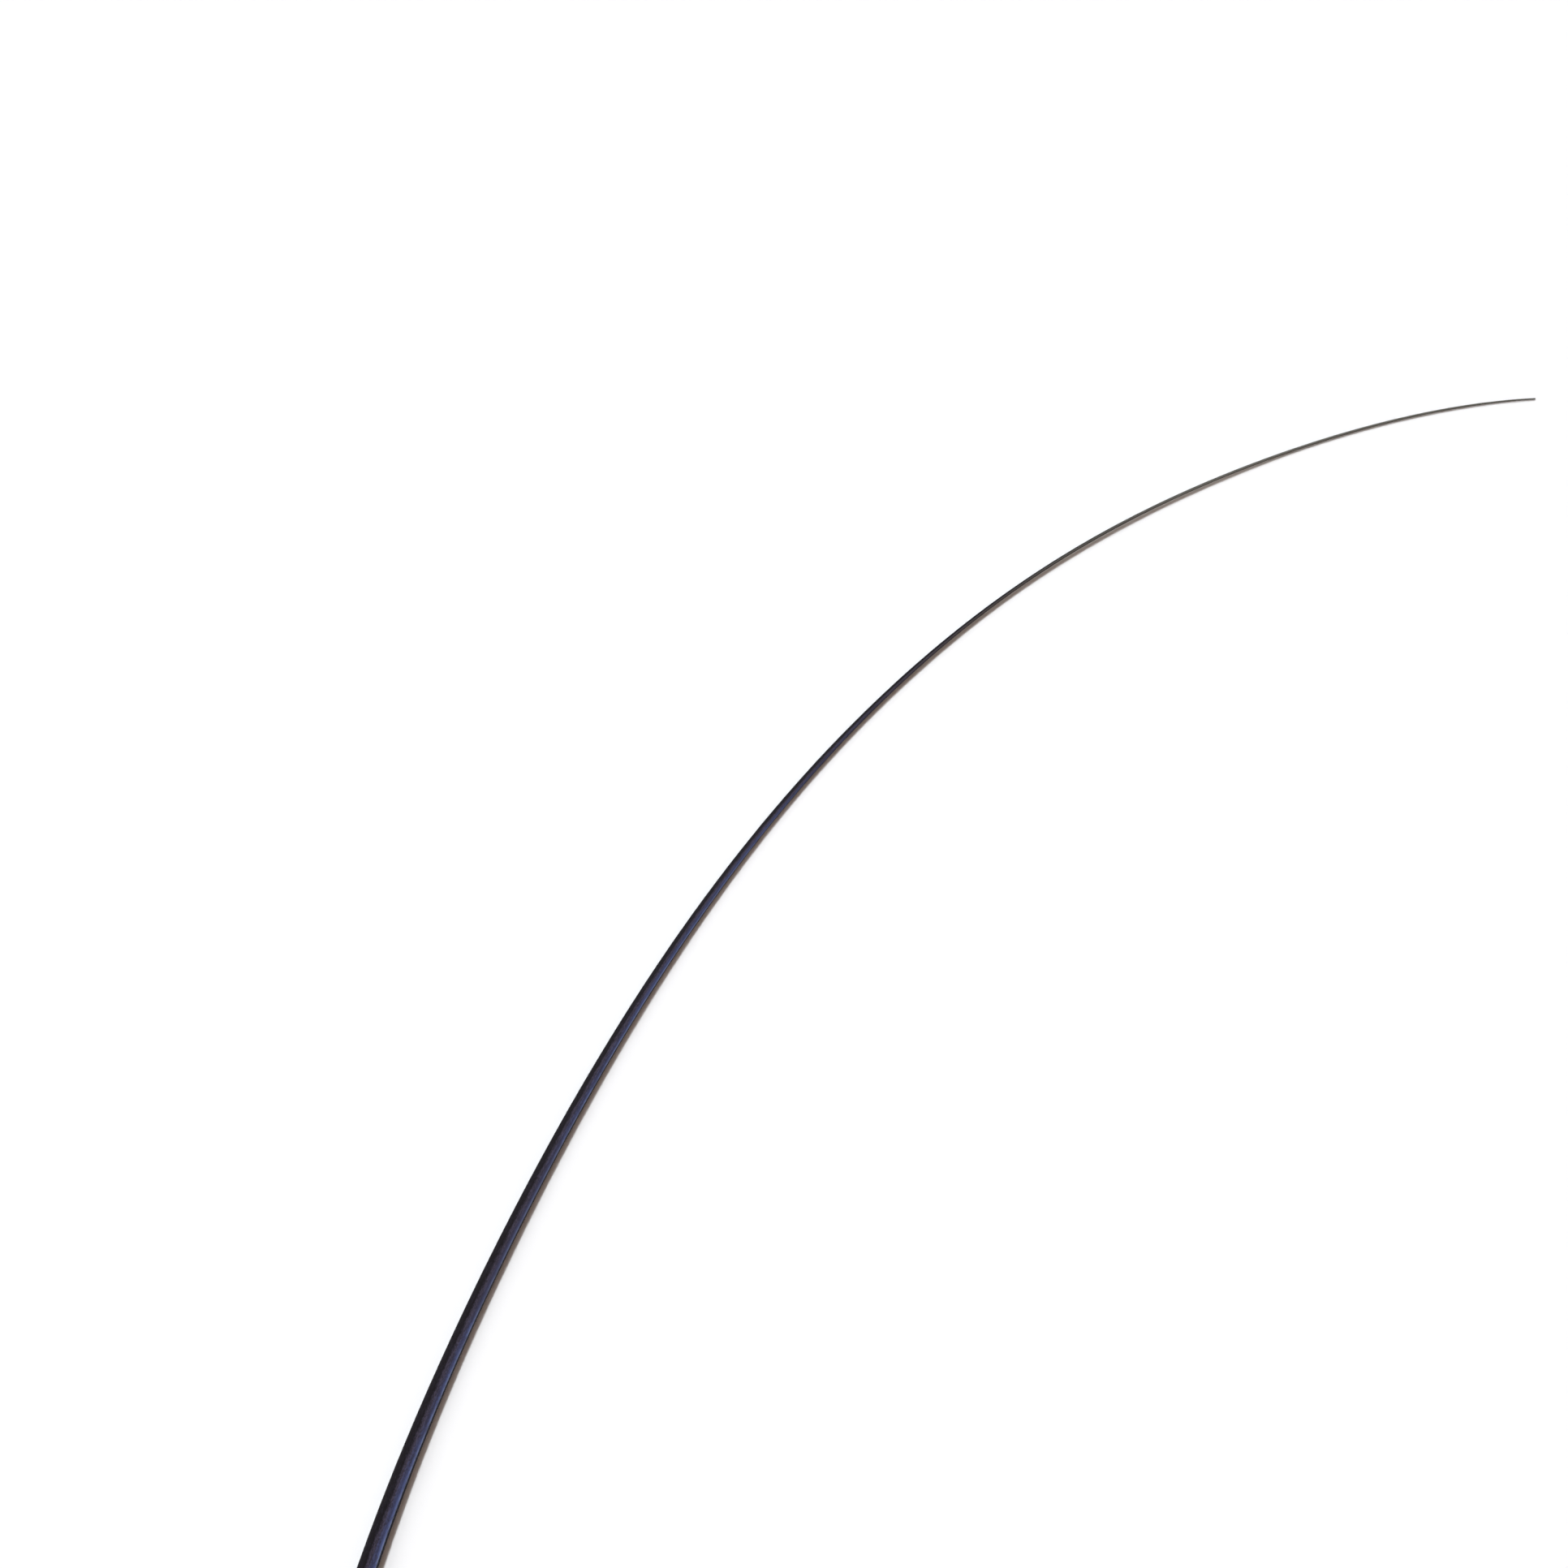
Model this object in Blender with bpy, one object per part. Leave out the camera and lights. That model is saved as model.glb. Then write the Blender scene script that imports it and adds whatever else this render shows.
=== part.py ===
"""A stripped ostrich quill, lying on its flank: one grown piece of keratin.

Units are metres and +Z is up. The origin is the middle of the quill's own box, at the surface that
it lies on. +X runs with the chord from the base to the tip, and +Y is the dorsal side, on which the
bow is convex. A distance along the shaft starts at the base. An angle around the shaft starts on the
dorsal side and grows over the upper flank: 180 degrees is the middle of the ventral groove.
"""

import math

import bmesh
import bpy
from mathutils import Vector

MM = 0.001

# Lengths along the shaft
LENGTH = 450 * MM
BARREL_LENGTH = 62 * MM
END_ROUNDING = 9 * MM
CENTRE_LINE_STEP = 0.5 * MM

# How sharply the shaft is bowed: (mm from the base, degrees of bend in each 10 mm)
BEND = [
    (0, 0.4), (60, 0.8), (140, 1.35), (200, 1.0), (260, 1.65),
    (310, 2.38), (360, 3.21), (400, 2.52), (430, 3.51), (450, 5.49),
]
BEND_UNIT = 10 * MM

# Dorsal to ventral depth of the shaft: (mm from the base, mm)
DEPTH = [
    (0, 5.0), (20, 5.6), (45, 5.75), (62, 5.5), (100, 4.58), (140, 3.62), (180, 2.95), (220, 2.43),
    (266, 1.76), (290, 1.38), (320, 0.95), (350, 0.67), (400, 0.48), (435, 0.36), (450, 0.25),
]

# Flank to flank breadth as a share of the depth: (mm from the base, share)
BREADTH_SHARE = [(0, 1.0), (50, 0.98), (90, 0.93), (300, 0.9), (450, 0.95)]

# Section of the shaft, from round (2) to squarish: (mm from the base, exponent)
SQUARENESS = [(0, 2.0), (58, 2.0), (90, 2.6), (300, 2.7), (380, 2.2), (450, 2.0)]

# Ventral groove as a share of the depth: (mm from the base, share)
GROOVE = [(0, 0.0), (58, 0.0), (66, 0.1), (110, 0.17), (280, 0.15), (360, 0.06), (400, 0.0), (450, 0.0)]
GROOVE_ANGLE = 180.0
GROOVE_HALF_WIDTH = 15.0

# Long ridges and furrows beside the groove: (angle, half width in degrees, height as a share of depth)
RELIEF = [(121.0, 7.0, -0.022), (133.0, 5.5, 0.030), (146.0, 5.0, -0.028), (158.0, 6.0, 0.014)]
RELIEF_STRENGTH = [(0, 0.0), (60, 0.0), (75, 0.8), (140, 1.0), (260, 0.8), (330, 0.0), (450, 0.0)]

# Rings that the dried pulp caps leave on the barrel
RING_PITCH_AT_BASE = 2.3 * MM
RING_PITCH_AT_SHAFT = 2.9 * MM
RING_HEIGHT = 0.07 * MM
RING_STRENGTH = [(0, 0.0), (6, 0.0), (11, 0.9), (40, 1.0), (56, 0.8), (66, 0.25), (80, 0.0), (450, 0.0)]

# Torn ledge on each flank, where the strip that bore the barbs was pulled off
LEDGE_ANGLE = 128.0
LEDGE_HALF_WIDTH = 20.0
LEDGE_HEIGHT = 0.32 * MM
LEDGE_FADE = 16 * MM
LEDGE_LIP = 0.7 * MM
UPPER_LEDGE_START = 64 * MM
LOWER_LEDGE_START = 68 * MM

# Pit at the head of the groove, and the blind hole in the base
PIT_PLACE = 62.5 * MM
PIT_HALF_LENGTH = 1.7 * MM
PIT_HALF_WIDTH = 16.0
PIT_DEPTH = 0.75 * MM
END_RIM_SHARE = 0.42
HOLE_MOUTH_RADIUS = 0.68 * MM
HOLE_END_RADIUS = 0.4 * MM
HOLE_MOUTH_PLACE = 0.25 * MM
HOLE_END_PLACE = 3.4 * MM

# How the quill lies: a thin flat where it touches, and the whip in a low arch: (mm from the base, mm)
CONTACT_FLAT = 0.09 * MM
CONTACT_FLAT_SHARE = 0.03
WHIP_START = 320 * MM
WHIP_LIFT = [
    (0, 0.0), (285, 0.0), (310, 0.15), (335, 0.3), (370, 0.36), (392, 0.25), (410, 0.05), (450, 0.0),
]

# Where the mesh has its points: angles on one side, and steps along the shaft
SIDE_ANGLES = [22, 42, 60, 76, 92, 108, 121, 133, 146, 161]
POINTS_PER_RING = 4
END_PLACES = [0.0, 0.4 * MM, 1.1 * MM, 2.2 * MM, 3.8 * MM, 5.8 * MM]
SHAFT_STEP = 4.8 * MM
WHIP_STEP = 4.2 * MM

KERATIN_COLOUR = (0.012, 0.012, 0.022, 1.0)
KERATIN_ROUGHNESS = 0.42


def slopes(places, values):
    """Slope at each station of a curve that never overshoots its stations."""
    gaps = [b - a for a, b in zip(places, places[1:])]
    rises = [(b - a) / gap for a, b, gap in zip(values, values[1:], gaps)]
    inner = []
    for before, after, gap_before, gap_after in zip(rises, rises[1:], gaps, gaps[1:]):
        if before * after <= 0:
            inner.append(0.0)
            continue
        weight_before = 2 * gap_after + gap_before
        weight_after = gap_after + 2 * gap_before
        total = weight_before + weight_after
        inner.append(total / (weight_before / before + weight_after / after))
    return [rises[0], *inner, rises[-1]]


def read(table, along):
    """Value of a table of (mm from the base, value) at a distance in metres, smoothly."""
    places = [place * MM for place, _ in table]
    values = [value for _, value in table]
    tangents = slopes(places, values)
    i = max(k for k in range(len(table) - 1) if k == 0 or places[k] <= along)
    gap = places[i + 1] - places[i]
    t = (along - places[i]) / gap
    start = (1 + 2 * t) * (1 - t) ** 2 * values[i] + t * (1 - t) ** 2 * gap * tangents[i]
    end = t * t * (3 - 2 * t) * values[i + 1] - t * t * (1 - t) * gap * tangents[i + 1]
    return start + end


def bell(distance, half_width):
    """1 in the middle of a feature, falling smoothly to nothing at about twice its half width."""
    return math.exp(-((distance / half_width) ** 2))


def centre_line():
    """Points and headings of the centre line, with its chord turned onto +X."""
    count = round(LENGTH / CENTRE_LINE_STEP)
    bends = [read(BEND, i * CENTRE_LINE_STEP) / BEND_UNIT for i in range(count + 1)]
    headings = [0.0]
    for before, after in zip(bends, bends[1:]):
        headings.append(headings[-1] - math.radians((before + after) / 2) * CENTRE_LINE_STEP)
    points = [Vector((0.0, 0.0))]
    for before, after in zip(headings, headings[1:]):
        middle = (before + after) / 2
        points.append(points[-1] + CENTRE_LINE_STEP * Vector((math.cos(middle), math.sin(middle))))
    chord = math.atan2(points[-1].y, points[-1].x)
    turned = [
        Vector((
            point.x * math.cos(chord) + point.y * math.sin(chord),
            point.y * math.cos(chord) - point.x * math.sin(chord),
        ))
        for point in points
    ]
    return turned, [heading - chord for heading in headings]


def place_on(line, along):
    """Point and heading of the centre line at a distance from the base."""
    points, headings = line
    position = along / CENTRE_LINE_STEP
    i = min(int(position), len(points) - 2)
    t = position - i
    return points[i].lerp(points[i + 1], t), headings[i] + t * (headings[i + 1] - headings[i])


def rings_passed(along):
    """Number of pulp-cap rings between the base and a place, while their pitch grows."""
    growth = (RING_PITCH_AT_SHAFT - RING_PITCH_AT_BASE) / BARREL_LENGTH
    return math.log((RING_PITCH_AT_BASE + growth * along) / RING_PITCH_AT_BASE) / growth


def ring_place(number):
    """Place of a ring's crest: the inverse of rings_passed."""
    growth = (RING_PITCH_AT_SHAFT - RING_PITCH_AT_BASE) / BARREL_LENGTH
    return RING_PITCH_AT_BASE * (math.exp(growth * number) - 1) / growth


def ledge_height(angle, along):
    """Height of the torn ledge on the nearer flank, which ends abruptly towards the base."""
    start = UPPER_LEDGE_START if angle > 0 else LOWER_LEDGE_START
    if along < start:
        return 0.0
    rise = min(1.0, (along - start) / LEDGE_LIP)
    fade = math.exp(-(along - start) / LEDGE_FADE)
    return LEDGE_HEIGHT * rise * fade * bell(abs(angle) - LEDGE_ANGLE, LEDGE_HALF_WIDTH)


def end_share(along):
    """Share of the barrel's radius that its rounded end has."""
    if along >= END_ROUNDING:
        return 1.0
    open_share = 1 - along / END_ROUNDING
    return END_RIM_SHARE + (1 - END_RIM_SHARE) * math.sqrt(1 - open_share ** 2)


def radius(angle, along):
    """Distance from the centre line to the surface at an angle in degrees from -180 to 180."""
    depth = read(DEPTH, along) * MM
    breadth = depth * read(BREADTH_SHARE, along)
    power = read(SQUARENESS, along)
    across = abs(math.cos(math.radians(angle))) / (depth / 2)
    upward = abs(math.sin(math.radians(angle))) / (breadth / 2)
    body = (across ** power + upward ** power) ** (-1 / power)
    side = abs(angle)
    relief = sum(height * bell(side - place, width) for place, width, height in RELIEF)
    groove = read(GROOVE, along) * bell(side - GROOVE_ANGLE, GROOVE_HALF_WIDTH)
    pit = PIT_DEPTH * bell(along - PIT_PLACE, PIT_HALF_LENGTH) * bell(side - GROOVE_ANGLE, PIT_HALF_WIDTH)
    ring = RING_HEIGHT * read(RING_STRENGTH, along) * math.cos(2 * math.pi * rings_passed(along))
    surface = body + depth * (relief * read(RELIEF_STRENGTH, along) - groove)
    return (surface + ring + ledge_height(angle, along) - pit) * end_share(along)


def centre_height(along):
    """Height of the centre line over the surface that the quill lies on."""
    half_breadth = read(DEPTH, along) * MM * read(BREADTH_SHARE, along) / 2
    flat = min(CONTACT_FLAT, 2 * half_breadth * CONTACT_FLAT_SHARE)
    return half_breadth - flat + read(WHIP_LIFT, along) * MM


def around():
    """Angles of a section's points, once around from the dorsal side."""
    return [0, *SIDE_ANGLES, 180, *[-angle for angle in reversed(SIDE_ANGLES)]]


def section(line, along, fixed_radius=None):
    """Points of one section of the quill, in order around it."""
    point, heading = place_on(line, along)
    dorsal = Vector((-math.sin(heading), math.cos(heading), 0.0))
    height = centre_height(along)
    ring = []
    for angle in around():
        reach = fixed_radius or radius(angle, along)
        rise = height + reach * math.sin(math.radians(angle))
        corner = Vector((point.x, point.y, max(0.0, rise)))
        ring.append(corner + dorsal * reach * math.cos(math.radians(angle)))
    return ring


def stations():
    """Places along the shaft that get a section: close on the barrel's rings, wider past them."""
    first_ring = math.ceil(rings_passed(END_PLACES[-1]) + 0.5)
    last_ring = math.floor(rings_passed(LOWER_LEDGE_START + 2 * LEDGE_LIP))
    quarters = range(first_ring * POINTS_PER_RING, last_ring * POINTS_PER_RING)
    barrel = [ring_place(quarter / POINTS_PER_RING) for quarter in quarters]
    ledges = [
        start + offset
        for start in (UPPER_LEDGE_START, LOWER_LEDGE_START)
        for offset in (-0.05 * MM, LEDGE_LIP)
    ]
    places = sorted(END_PLACES + barrel + ledges)
    shaft_count = round((WHIP_START - places[-1]) / SHAFT_STEP)
    shaft_gap = (WHIP_START - places[-1]) / shaft_count
    places += [places[-1] + shaft_gap * (i + 1) for i in range(shaft_count)]
    whip_count = round((LENGTH - WHIP_START) / WHIP_STEP)
    whip_gap = (LENGTH - WHIP_START) / whip_count
    return places + [WHIP_START + whip_gap * (i + 1) for i in range(whip_count)]


def next_ring(ring, made):
    """New points of an extrusion, in the order of the points that they were drawn from."""
    new = {item for item in made if isinstance(item, bmesh.types.BMVert)}
    return [
        next(edge.other_vert(vert) for edge in vert.link_edges if edge.other_vert(vert) in new)
        for vert in ring
    ]


def edges_of(ring):
    """Edges that join a closed ring's points in turn."""
    ring_points = set(ring)
    return [
        edge for edge in {edge for vert in ring for edge in vert.link_edges}
        if set(edge.verts) <= ring_points
    ]


def quill_mesh():
    """The whole quill, grown ring by ring from the bottom of its blind hole to its tip."""
    line = centre_line()
    sections = [
        section(line, HOLE_END_PLACE, HOLE_END_RADIUS),
        section(line, HOLE_MOUTH_PLACE, HOLE_MOUTH_RADIUS),
        *[section(line, along) for along in stations()],
    ]
    shape = bmesh.new()
    ring = bmesh.ops.create_circle(shape, cap_ends=True, segments=len(sections[0]), radius=1)["verts"]
    for corners in sections:
        if corners is not sections[0]:
            made = bmesh.ops.extrude_edge_only(shape, edges=edges_of(ring))["geom"]
            ring = next_ring(ring, made)
        for vert, corner in zip(ring, corners):
            vert.co = corner
    bmesh.ops.contextual_create(shape, geom=edges_of(ring))
    bmesh.ops.recalc_face_normals(shape, faces=shape.faces)
    mesh = bpy.data.meshes.new("quill")
    shape.to_mesh(mesh)
    shape.free()
    return mesh


def centre_on_origin(mesh):
    """Puts the middle of the mesh's box over the origin, and leaves its height alone."""
    for axis in (0, 1):
        values = [vert.co[axis] for vert in mesh.vertices]
        middle = (min(values) + max(values)) / 2
        for vert in mesh.vertices:
            vert.co[axis] -= middle


def keratin():
    """Dyed keratin: almost black, with a slight gloss."""
    material = bpy.data.materials.new("dyed_keratin")
    material.use_nodes = True
    shader = material.node_tree.nodes["Principled BSDF"]
    shader.inputs["Base Color"].default_value = KERATIN_COLOUR
    shader.inputs["Roughness"].default_value = KERATIN_ROUGHNESS
    shader.inputs["Metallic"].default_value = 0.0
    return material


def clear_scene():
    """Removes the objects that a new file starts with."""
    for item in list(bpy.data.objects):
        bpy.data.objects.remove(item, do_unlink=True)


def main():
    """Models the quill."""
    clear_scene()
    mesh = quill_mesh()
    centre_on_origin(mesh)
    mesh.materials.append(keratin())
    mesh.shade_smooth()
    mesh.set_sharp_from_angle(angle=math.radians(40))
    quill = bpy.data.objects.new("quill", mesh)
    bpy.context.collection.objects.link(quill)


main()
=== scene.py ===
"""Looks of a stripped ostrich quill: one dyed feather shaft, lying on its flank on a pale floor.

Units are metres and +Z is up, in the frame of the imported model. A distance along the shaft starts at
the base of its barrel. An angle around the shaft starts on the dorsal side, the convex side of the bow,
and grows over the upper flank, so that 180 degrees is the middle of the ventral groove. The lower flank
has negative angles.
"""

import logging
import math
from dataclasses import dataclass
from enum import Enum
from functools import cached_property
from typing import Callable, Protocol

import bmesh
import bpy
from mathutils import Matrix, Vector, noise


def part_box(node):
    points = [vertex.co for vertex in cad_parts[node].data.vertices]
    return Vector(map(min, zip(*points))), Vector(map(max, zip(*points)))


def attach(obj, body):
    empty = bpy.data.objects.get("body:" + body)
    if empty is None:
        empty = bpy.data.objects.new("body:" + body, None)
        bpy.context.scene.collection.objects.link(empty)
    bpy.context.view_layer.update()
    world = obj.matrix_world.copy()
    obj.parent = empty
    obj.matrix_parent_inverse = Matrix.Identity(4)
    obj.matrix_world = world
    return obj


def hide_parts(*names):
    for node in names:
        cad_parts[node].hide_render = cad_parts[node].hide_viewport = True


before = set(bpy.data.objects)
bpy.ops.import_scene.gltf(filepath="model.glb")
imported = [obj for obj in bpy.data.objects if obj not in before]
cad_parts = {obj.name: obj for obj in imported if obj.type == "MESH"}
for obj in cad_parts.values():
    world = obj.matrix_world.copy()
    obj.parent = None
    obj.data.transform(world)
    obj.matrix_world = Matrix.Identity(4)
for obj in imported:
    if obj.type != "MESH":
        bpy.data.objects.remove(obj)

MM = 0.001
BODY = "root"
NODE = "quill"
SHAFT_MAP = "shaft"
BAKE_MAP = "OFBake"
SHARP_ANGLE = 80.0
HALF_TURN = 180.0
MIX_SHARE, MIX_UNDER, MIX_OVER, MIX_RESULT = 0, 6, 7, 2

Colour = tuple[float, float, float]
Across = Callable[[float], float]
Row = tuple[float, float | None]
Shape = bmesh.types.BMesh
Socket = bpy.types.NodeSocket
Ends = bpy.types.bpy_prop_collection
Feed = Socket | float | Colour


class Flank(Enum):
    """The two flanks of the shaft, with the sign that their angles have."""

    UPPER = 1
    LOWER = -1


@dataclass(frozen=True)
class SmoothCurve:
    """A curve through a few stations that never overshoots them.

    Each station is (place, value). Along the shaft, a place is in millimetres from the base.
    """

    stations: tuple[tuple[float, float], ...]

    @cached_property
    def slopes(self) -> list[float]:
        """Slope of the curve at each station.

        Returns:
            The slopes, flat at a station that is higher or lower than both of its neighbours.
        """
        pairs = list(zip(self.stations, self.stations[1:]))
        gaps = [after[0] - before[0] for before, after in pairs]
        rises = [(after[1] - before[1]) / gap for (before, after), gap in zip(pairs, gaps)]
        inner = []
        for before, after, gap_before, gap_after in zip(rises, rises[1:], gaps, gaps[1:]):
            if before * after <= 0:
                inner.append(0.0)
                continue
            weight_before = 2 * gap_after + gap_before
            weight_after = gap_after + 2 * gap_before
            inner.append((weight_before + weight_after) / (weight_before / before + weight_after / after))
        return [rises[0], *inner, rises[-1]]

    def at(self, place: float) -> float:
        """Value of the curve.

        Args:
            place: Where it is read, in the unit of the stations' places.

        Returns:
            The value, read smoothly between the two nearest stations.
        """
        last = len(self.stations) - 2
        i = max(k for k in range(last + 1) if k == 0 or self.stations[k][0] <= place)
        (start, first), (end, second) = self.stations[i], self.stations[i + 1]
        gap = end - start
        t = (place - start) / gap
        leaving = (1 + 2 * t) * first + t * gap * self.slopes[i]
        arriving = (3 - 2 * t) * second - (1 - t) * gap * self.slopes[i + 1]
        return (1 - t) ** 2 * leaving + t * t * arriving


def shaft_spot(angle: float, along: float, length: float) -> tuple[float, float]:
    """Spot on the map that the finishes read: share of the turn from the groove, and of the length."""
    return (angle + HALF_TURN) / (2 * HALF_TURN), along / length


def bell(distance: float, half_width: float) -> float:
    """1 in the middle of a feature, falling smoothly to nothing at about twice its half width."""
    return math.exp(-((distance / half_width) ** 2))


def ripple(place: float, lane: float = 0.0, turn: float = 0.0) -> float:
    """Gentle unevenness.

    Args:
        place: Place along the shaft, in wave lengths.
        lane: A number that sets one feature's unevenness apart from another's.
        turn: Angle around the shaft in degrees.

    Returns:
        A number between about -1 and 1 that is the same on every run.
    """
    around = math.radians(turn)
    return noise.noise(Vector((math.cos(around) + lane, math.sin(around) - lane, place)))


@dataclass(frozen=True)
class Bow:
    """The bowed centre line of the shaft, with its chord turned onto +X."""

    length: float = 450 * MM
    step: float = 0.5 * MM
    bend_unit: float = 10 * MM
    bend: SmoothCurve = SmoothCurve((
        (0, 0.4), (60, 0.8), (140, 1.35), (200, 1.0), (260, 1.65),
        (310, 2.38), (360, 3.21), (400, 2.52), (430, 3.51), (450, 5.49),
    ))

    @cached_property
    def line(self) -> tuple[list[Vector], list[float]]:
        """The centre line, worked out step by step.

        Returns:
            Its points and its headings in radians from +X, one of each for every step.
        """
        count = round(self.length / self.step)
        bends = [self.bend.at(i * self.step / MM) / self.bend_unit for i in range(count + 1)]
        headings = [0.0]
        for before, after in zip(bends, bends[1:]):
            headings.append(headings[-1] - math.radians((before + after) / 2) * self.step)
        points = [Vector((0.0, 0.0))]
        for before, after in zip(headings, headings[1:]):
            middle = (before + after) / 2
            points.append(points[-1] + self.step * Vector((math.cos(middle), math.sin(middle))))
        chord = math.atan2(points[-1].y, points[-1].x)
        unturn = Matrix.Rotation(-chord, 2)
        return [unturn @ point for point in points], [heading - chord for heading in headings]

    def place(self, along: float) -> tuple[Vector, float]:
        """Point and heading of the centre line.

        Args:
            along: Distance from the base.

        Returns:
            The point over the floor, in X and Y, and the heading in radians from +X.
        """
        points, headings = self.line
        position = along / self.step
        i = min(int(position), len(points) - 2)
        t = position - i
        return points[i].lerp(points[i + 1], t), headings[i] + t * (headings[i + 1] - headings[i])


class Relief(Protocol):
    """Something that raises or lowers the skin over the plain shaft."""

    def across(self, along: float, depth: float) -> Across:
        """Heights in one section: a function from the angle in degrees to a height."""


@dataclass(frozen=True)
class LongRidge:
    """A ridge along both flanks, or a furrow with a negative share, as a share of the shaft's depth."""

    angle: float
    half_width: float
    share: float
    waver: float = 1.6
    waver_length: float = 17 * MM
    strength: SmoothCurve = SmoothCurve((
        (0, 0.0), (60, 0.0), (75, 0.8), (140, 1.0), (260, 0.8), (330, 0.0), (450, 0.0),
    ))

    def across(self, along: float, depth: float) -> Across:
        """Heights of the ridge in one section.

        Args:
            along: Distance from the base.
            depth: Dorsal to ventral depth of the shaft there.

        Returns:
            A function from the angle in degrees to a height.
        """
        height = depth * self.share * self.strength.at(along / MM)
        centre = self.angle + self.waver * ripple(along / self.waver_length, self.angle)
        return lambda angle: height * bell(abs(angle) - centre, self.half_width)


@dataclass(frozen=True)
class BarrelRings:
    """Rings that the dried pulp caps leave on the barrel: uneven, and closer together at the base."""

    barrel_length: float = 62 * MM
    pitch_at_base: float = 2.3 * MM
    pitch_at_shaft: float = 2.9 * MM
    rise: float = 0.07 * MM
    swell: float = 0.75
    swell_rate: float = 0.7
    swell_lane: float = 3.1
    skew: float = 0.16
    skew_rate: float = 0.31
    skew_lane: float = 7.7
    strength: SmoothCurve = SmoothCurve((
        (0, 0.0), (6, 0.0), (11, 0.9), (40, 1.0), (56, 0.8), (66, 0.25), (80, 0.0), (450, 0.0),
    ))

    def passed(self, along: float) -> float:
        """Number of rings between the base and a place, while their pitch grows."""
        growth = (self.pitch_at_shaft - self.pitch_at_base) / self.barrel_length
        return math.log((self.pitch_at_base + growth * along) / self.pitch_at_base) / growth

    def crests(self, along: float) -> Across:
        """Height of the rings in one section as a share of their rise.

        Args:
            along: Distance from the base.

        Returns:
            A function from the angle in degrees to a share, 1 on a full crest.
        """
        passed = self.passed(along)
        strength = self.strength.at(along / MM)

        def share(angle: float) -> float:
            """Height at one angle as a share of the rise."""
            swell = 1 + self.swell * ripple(self.swell_rate * passed, self.swell_lane, angle)
            phase = passed + self.skew * ripple(self.skew_rate * passed, self.skew_lane, angle)
            return strength * swell * math.cos(math.tau * phase)

        return share

    def across(self, along: float, depth: float) -> Across:
        """Heights of the rings in one section."""
        crests = self.crests(along)
        return lambda angle: self.rise * crests(angle)


@dataclass(frozen=True)
class TornLedge:
    """The ragged ledge on one flank, where the strip that bore the barbs was pulled off."""

    flank: Flank
    start: float
    angle: float = 128.0
    half_width: float = 20.0
    rise: float = 0.32 * MM
    lip: float = 0.7 * MM
    fade: float = 16 * MM
    raggedness: float = 1.4 * MM
    notch_angle: float = 9.0
    notch_lane: float = 5.3
    tear_share: float = 0.25
    tear_length: float = 3.4 * MM
    tear_angle: float = 8.0

    def across(self, along: float, depth: float) -> Across:
        """Heights of the ledge in one section, whose lip runs unevenly around the flank.

        Args:
            along: Distance from the base.
            depth: Not used.

        Returns:
            A function from the angle in degrees to a height.
        """
        fading = math.exp(-max(0.0, along - self.start) / self.fade)

        def height(angle: float) -> float:
            """Height at one angle, which is nothing on the other flank."""
            side = angle * self.flank.value
            if side <= 0:
                return 0.0
            start = self.start + self.raggedness * ripple(side / self.notch_angle, self.notch_lane)
            climb = min(1.0, max(0.0, (along - start) / self.lip))
            torn = 1 + self.tear_share * ripple(along / self.tear_length, side / self.tear_angle)
            return self.rise * climb * fading * torn * bell(side - self.angle, self.half_width)

        return height


@dataclass(frozen=True)
class GroovePit:
    """The small pit at the head of the groove, where the shaft leaves the barrel."""

    place: float = 62.5 * MM
    half_length: float = 1.7 * MM
    half_width: float = 16.0
    depth: float = 0.75 * MM

    def across(self, along: float, depth: float) -> Across:
        """Heights of the pit in one section, which are all negative."""
        fall = -self.depth * bell(along - self.place, self.half_length)
        return lambda angle: fall * bell(HALF_TURN - abs(angle), self.half_width)


@dataclass(frozen=True)
class BarbScars:
    """The row of small scars along each flank, one for each barb that was pulled off."""

    angle: float = 140.0
    half_width: float = 7.0
    fall: float = 0.03 * MM
    pitch: float = 0.85 * MM
    slant: float = 0.02
    patch_share: float = 0.7
    patch_length: float = 4.3 * MM
    patch_lane: float = 11.9
    strength: SmoothCurve = SmoothCurve((
        (0, 0.0), (64, 0.0), (72, 1.0), (200, 0.8), (300, 0.35), (360, 0.0), (450, 0.0),
    ))

    def across(self, along: float, depth: float) -> Across:
        """Heights of the scars in one section.

        Args:
            along: Distance from the base.
            depth: Not used.

        Returns:
            A function from the angle in degrees to a height.
        """
        fall = -self.fall * self.strength.at(along / MM)

        def height(angle: float) -> float:
            """Height at one angle, which is never above the skin."""
            off = abs(angle) - self.angle
            wave = (1 + math.cos(math.tau * (along / self.pitch + self.slant * off))) / 2
            patch = 1 + self.patch_share * ripple(along / self.patch_length, self.patch_lane, angle)
            return fall * patch * wave * bell(off, self.half_width)

        return height


@dataclass(frozen=True)
class LongWrinkles:
    """Faint wrinkles that run lengthwise, from the drying of the keratin."""

    share: float = 0.0045
    lanes: float = 2.6
    wave_length: float = 26 * MM

    def across(self, along: float, depth: float) -> Across:
        """Heights of the wrinkles in one section.

        Args:
            along: Distance from the base.
            depth: Dorsal to ventral depth of the shaft there.

        Returns:
            A function from the angle in degrees to a height.
        """
        height = depth * self.share

        def wrinkle(angle: float) -> float:
            """Height at one angle."""
            around = math.radians(angle)
            lane = Vector((self.lanes * math.cos(around), self.lanes * math.sin(around), 0.0))
            return height * noise.noise(lane + Vector((0.0, 0.0, along / self.wave_length)))

        return wrinkle


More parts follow.
